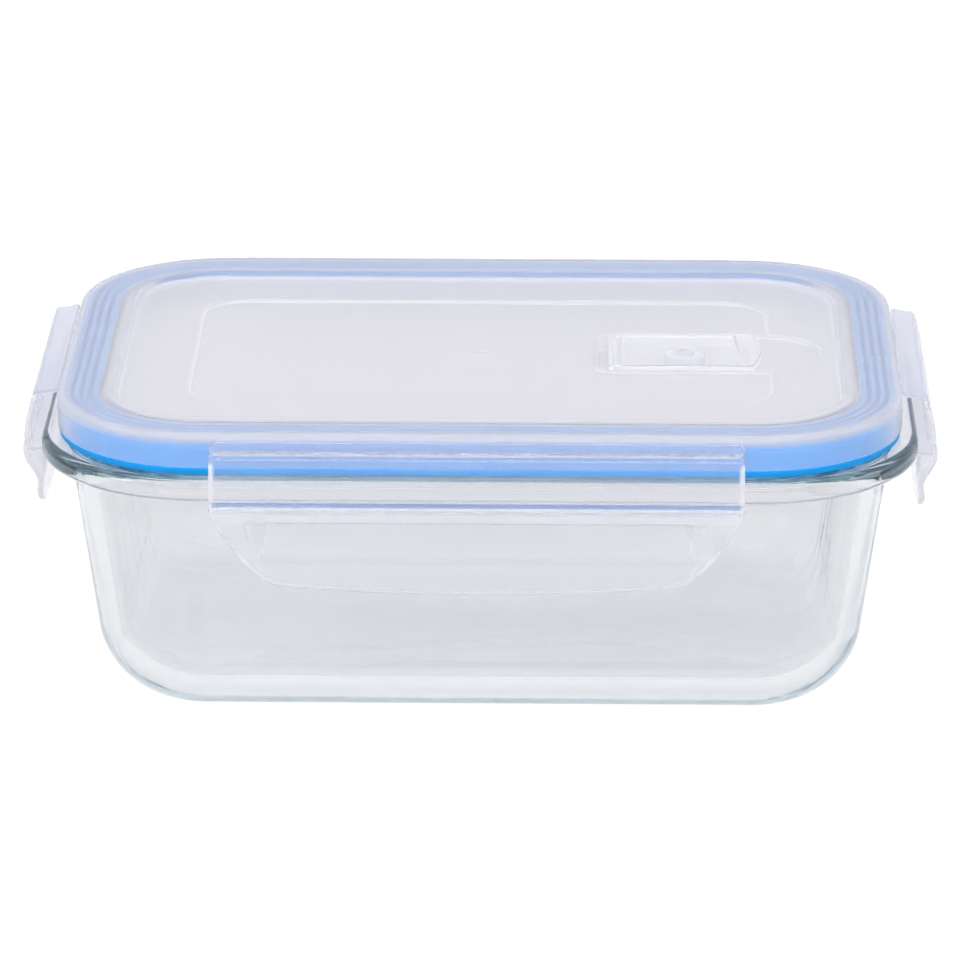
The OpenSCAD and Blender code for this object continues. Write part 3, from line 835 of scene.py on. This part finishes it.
def strip_solid(half):
    """The thin strip between a latch's two folds: two round beads joined by a flat web, as one loop that
    runs round each bead where the web's faces meet it."""
    tilt = math.degrees(math.atan2(STRIP_IN_Z - STRIP_OUT_Z, STRIP_OUT - STRIP_IN))
    bite = math.degrees(math.asin(STRIP_T / 2 / BEAD_R))
    section = np.concatenate([
        arc(STRIP_OUT, STRIP_OUT_Z, BEAD_R, bite - 180 - tilt, 180 - bite - tilt, 16),
        arc(STRIP_IN, STRIP_IN_Z, BEAD_R, bite - tilt, 360 - bite - tilt, 16),
    ])
    return rod(section, -half, half, 1.4)


def make_latches():
    """The four latches with their hooks, and the strips they hang on. Seen end on, the short ones show
    more plastic, so they are milkier."""
    for side in ("front", "back", "left", "right"):
        long = side in ("front", "back")
        half = LONG_HALF if long else SHORT_HALF
        reach = (CORNER_Y if long else CORNER_X) + RIM_R
        tip = TIP_Z if long else TIP_Z + SHORT_TIP_UP
        sheet, milk, groove = latch_solid(half, tip)
        hook = hook_solid(half)
        hook_milk = np.full(len(hook[0]), 0.1)
        latch = new_object(side + "_latch_moulding", turn_to_side(join(sheet, hook), reach, side))
        paint(latch, "milk", np.append(milk, hook_milk) + (0.0 if long else 0.18))
        paint(latch, "groove", np.append(groove, 0 * hook_milk))
        finish_piece(latch, side + "_clip", side + "_latch", LATCH_PLASTIC, 60.0)
        strip = strip_solid(half)
        fold = new_object(side + "_fold", turn_to_side(strip, reach, side))
        paint(fold, "milk", np.full(len(strip[0]), 0.0 if long else 0.22))
        finish_piece(fold, side + "_strip", side + "_hinge_strip", SHADED_FOLD_PLASTIC, 60.0)


# ---------------------------------------------------------------------------------------------- vent


def flap_solid():
    """The flap as rounded-rectangle rows: flat underside, round edges, a border 1.1 wide, and a shallow
    tray inside it that stops at the finger grip. Points near the free end move out by
    bow (1 - (y / half width)^2), which turns that end and the tray's end into arcs."""
    border = 1.1
    grip = 2.6
    half_x = (FLAP_X1 - FLAP_BOW - FLAP_X0) / 2
    mid = FLAP_X0 + half_x
    outer = bend_corners([
        [6, 4, 1, FLAP_Z],
        [half_x, FLAP_Y, 0.9, FLAP_Z],
        [half_x, FLAP_Y, 0.9, FLAP_TOP],
        [half_x - border, FLAP_Y - border, 0.7, FLAP_TOP],
    ], [0, 0.25, 0.3, 0], 4)
    lower = rings(outer, (mid, 0.0), 6, 12)
    tray = bend_corners([
        [half_x - border - grip / 2 + 0.1, FLAP_Y - border, 0.7, FLAP_TOP],
        [half_x - border - grip / 2 - 0.2, FLAP_Y - border - 0.3, 0.7, FLAP_TOP - 0.4],
        [5, 3, 1, FLAP_TOP - 0.4],
    ], [0, 0.2, 0], 4)
    upper = rings(tray, (mid - grip / 2, 0.0), 6, 12)
    grid = np.concatenate([lower, upper])
    near_end = np.clip((grid[..., 0] - mid) / half_x, 0, 1) ** 3
    grid[..., 0] += FLAP_BOW * (1 - (grid[..., 1] / FLAP_Y) ** 2) * near_end
    barrel = pin_along_y(BARREL_R, FLAP_Y - 0.1, 0.3, PIVOT_X, PIVOT_Z)
    pin = pin_along_y(PIN_R, WELL_Y + 0.65, 0.25, PIVOT_X, PIVOT_Z)
    boss = [[0.5, 61.6], [BOSS_R, 61.6], [BOSS_R, 63.4], [0.5, 63.4]]
    boss = disc(bend_corners(boss, [0, 0.3, 0, 0]), VENT_X)
    return join(skin(grid), barrel, pin, boss)


def plug_solid():
    """The plug, turned: nose through the vent hole, shoulder on the well's floor, and a socket for the
    flap's boss, run from the tip of the nose up the outside and down into the socket."""
    bore = BOSS_R + 0.04
    profile = [
        [0.6, 59.0], [2.2, 59.0], [2.6, 60.33], [4.2, 60.35],
        [4.2, 63.05], [bore, 63.05], [bore, 61.55], [0.5, 61.55],
    ]
    return disc(bend_corners(profile, [0, 0.4, 0.1, 0.3, 0.5, 0.3, 0.2, 0], 5), VENT_X)


def make_all():
    """Every piece of the lunch box, from the glass up."""
    glass = new_object("glass_body", glass_solid())
    finish_piece(glass, "base", "glass_box", GLASS, 60.0)
    make_lid()
    seal = new_object("blue_seal", seal_solid())
    finish_piece(seal, "lid", "seal_ring", SEAL_BLUE, 60.0)
    make_latches()
    cover = new_object("vent_cover", flap_solid())
    finish_piece(cover, "vent", "vent_flap", FLAP_PLASTIC, 50.0)
    stopper = new_object("vent_stopper", plug_solid())
    finish_piece(stopper, "vent", "vent_plug", PLUG_MILK, 50.0)


# ---------------------------------------------------------------------------------------------- studio


def make_floor():
    """A pale floor: it shows white, and keeps the box's soft shadow by lighting only part of itself."""
    f = new_finish("studio_floor")
    through = f.ray("Is Transmission Ray")
    direct = (f.ray("Is Camera Ray") + f.ray("Is Glossy Ray") * (1.0 - through)).clamped()
    # Seen through the glass, the floor glows less away from the box: painted shade on what the glass shows.
    away = ((place_on_box(f)[0] - 22.0) * 0.03).clamped()
    seen = direct * 0.62 + through * (0.50 - away * 0.13)
    mottle = f.noise(9.0, 2.0)
    matte = f.node(
        "ShaderNodeBsdfPrincipled",
        {},
        {
            "Base Color": f.blend(mottle, (0.44, 0.44, 0.44, 1.0), (0.46, 0.46, 0.46, 1.0)),
            "Roughness": 0.9,
            "Specular IOR Level": 0.0,
            "Emission Color": seen,
            "Emission Strength": 1.0,
        },
    )
    f.node("ShaderNodeOutputMaterial", {}, {"Surface": matte})
    verts, quads, tris = skin(rings(round_rows([[40.0, -0.3], [2500.0, -0.3]]), n_side=1))
    floor = new_object("floor", (verts, quads, tris[: len(tris) // 2]))
    floor.data.flip_normals()
    floor.data.materials.append(f.owner)


def sky(f, height, stops):
    """Light by height, from 0 straight down to 1 straight up: each stop's place, its red and green, and
    its blue."""
    colours = [(place, (grey, grey, blue, 1.0)) for place, grey, blue in stops]
    return f.node("ShaderNodeValToRGB", {"stops": colours}, {"Fac": height})


def make_studio():
    """A white room with grey overhead for what glass mirrors, and lamps that shape the plastic. What is
    mirrored darkens towards the front, and what is seen through the box is a little greyer."""
    world = bpy.data.worlds.new("studio")
    bpy.context.scene.world = world
    f = Finish(world)
    way = f.node("ShaderNodeTexCoord", out="Generated")
    height = f.part_of(way, "Z") * 0.5 + 0.5
    level = sky(f, height, [(0.0, 0.9, 0.9), (1.0, 0.95, 0.95), (0.5, 0.8, 0.8), (0.62, 0.62, 0.63),
                            (0.85, 0.62, 0.63), (0.94, 0.95, 0.95)])
    mirrored = sky(f, height, [(0.0, 1.0, 1.0), (1.0, 1.15, 1.15), (0.50, 1.2, 1.2), (0.60, 1.2, 1.2),
                               (0.65, 0.78, 0.81), (0.85, 0.74, 0.77), (0.94, 1.15, 1.15)])
    beyond = sky(f, height, [(0.0, 0.9, 0.92), (1.0, 1.0, 1.0), (0.50, 0.80, 0.84), (0.65, 0.86, 0.89),
                             (0.85, 0.95, 0.97)])
    dark_front = (0.2 - f.part_of(way, "Y") * 1.6 + f.part_of(way, "X").absolute() * 0.9).clamped()
    mirrored = f.blend(dark_front, mirrored, (0.42, 0.42, 0.46, 1.0))
    shade = f.blend(f.ray("Is Glossy Ray"), level, mirrored)
    shade = f.blend(f.ray("Is Transmission Ray"), shade, beyond)
    shade = f.blend(f.ray("Is Camera Ray"), shade, (1.0, 1.0, 1.0, 1.0))
    light = f.node("ShaderNodeBackground", {}, {"Color": shade, "Strength": 1.0})
    f.node("ShaderNodeOutputWorld", {}, {"Surface": light})
    for name, place, wide, tall, watts in (
        ("overhead", (0.0, 0.15, 0.9), 0.7, 0.49, 2.4),
        ("left_side", (-0.9, -0.35, 0.55), 0.5, 0.35, 1.8),
        ("right_side", (0.95, -0.1, 0.5), 0.5, 0.35, 1.6),
        ("front_strip", (0.0, -0.62, 0.62), 1.0, 0.05, 1.9),
        ("front_low", (0.0, -1.0, 0.42), 0.9, 0.10, 1.9),
    ):
        lamp = bpy.data.lights.new(name, "AREA")
        lamp.shape = "RECTANGLE"
        lamp.size = wide
        lamp.size_y = tall
        lamp.energy = watts
        obj = bpy.data.objects.new(name, lamp)
        obj.location = place
        aim = np.array([0.0, 0.0, 0.03]) - np.array(place)
        yaw = math.atan2(aim[0], -aim[1])
        pitch = math.atan2(math.hypot(aim[0], aim[1]), -aim[2])
        obj.rotation_euler = (pitch, 0.0, yaw + math.pi)
        bpy.context.scene.collection.objects.link(obj)


def make_camera():
    """A long lens, raised above the box and a little to its right, aimed just past its middle."""
    distance, raised, round_by = 1.315, math.radians(18.94), math.radians(1.03)
    target = np.array([-0.0005, 0.0, 0.0353])
    back = np.array([
        math.sin(round_by) * math.cos(raised),
        -math.cos(round_by) * math.cos(raised),
        math.sin(raised),
    ])
    data = bpy.data.cameras.new("camera")
    data.lens = 233.5
    data.sensor_width = 36.0
    data.clip_start = 0.05
    camera = bpy.data.objects.new("camera", data)
    camera.location = target + back * distance
    camera.rotation_euler = (math.pi / 2 - raised, 0.0, round_by)
    bpy.context.scene.collection.objects.link(camera)
    bpy.context.scene.camera = camera


make_all()
make_floor()
make_studio()
make_camera()
bpy.context.scene.view_settings.view_transform = "Standard"

# Light is caught in the rim and goes round inside it many times before it leaves
cycles = bpy.context.scene.cycles
cycles.max_bounces = 48
cycles.glossy_bounces = 48
cycles.transmission_bounces = 48
cycles.transparent_max_bounces = 24
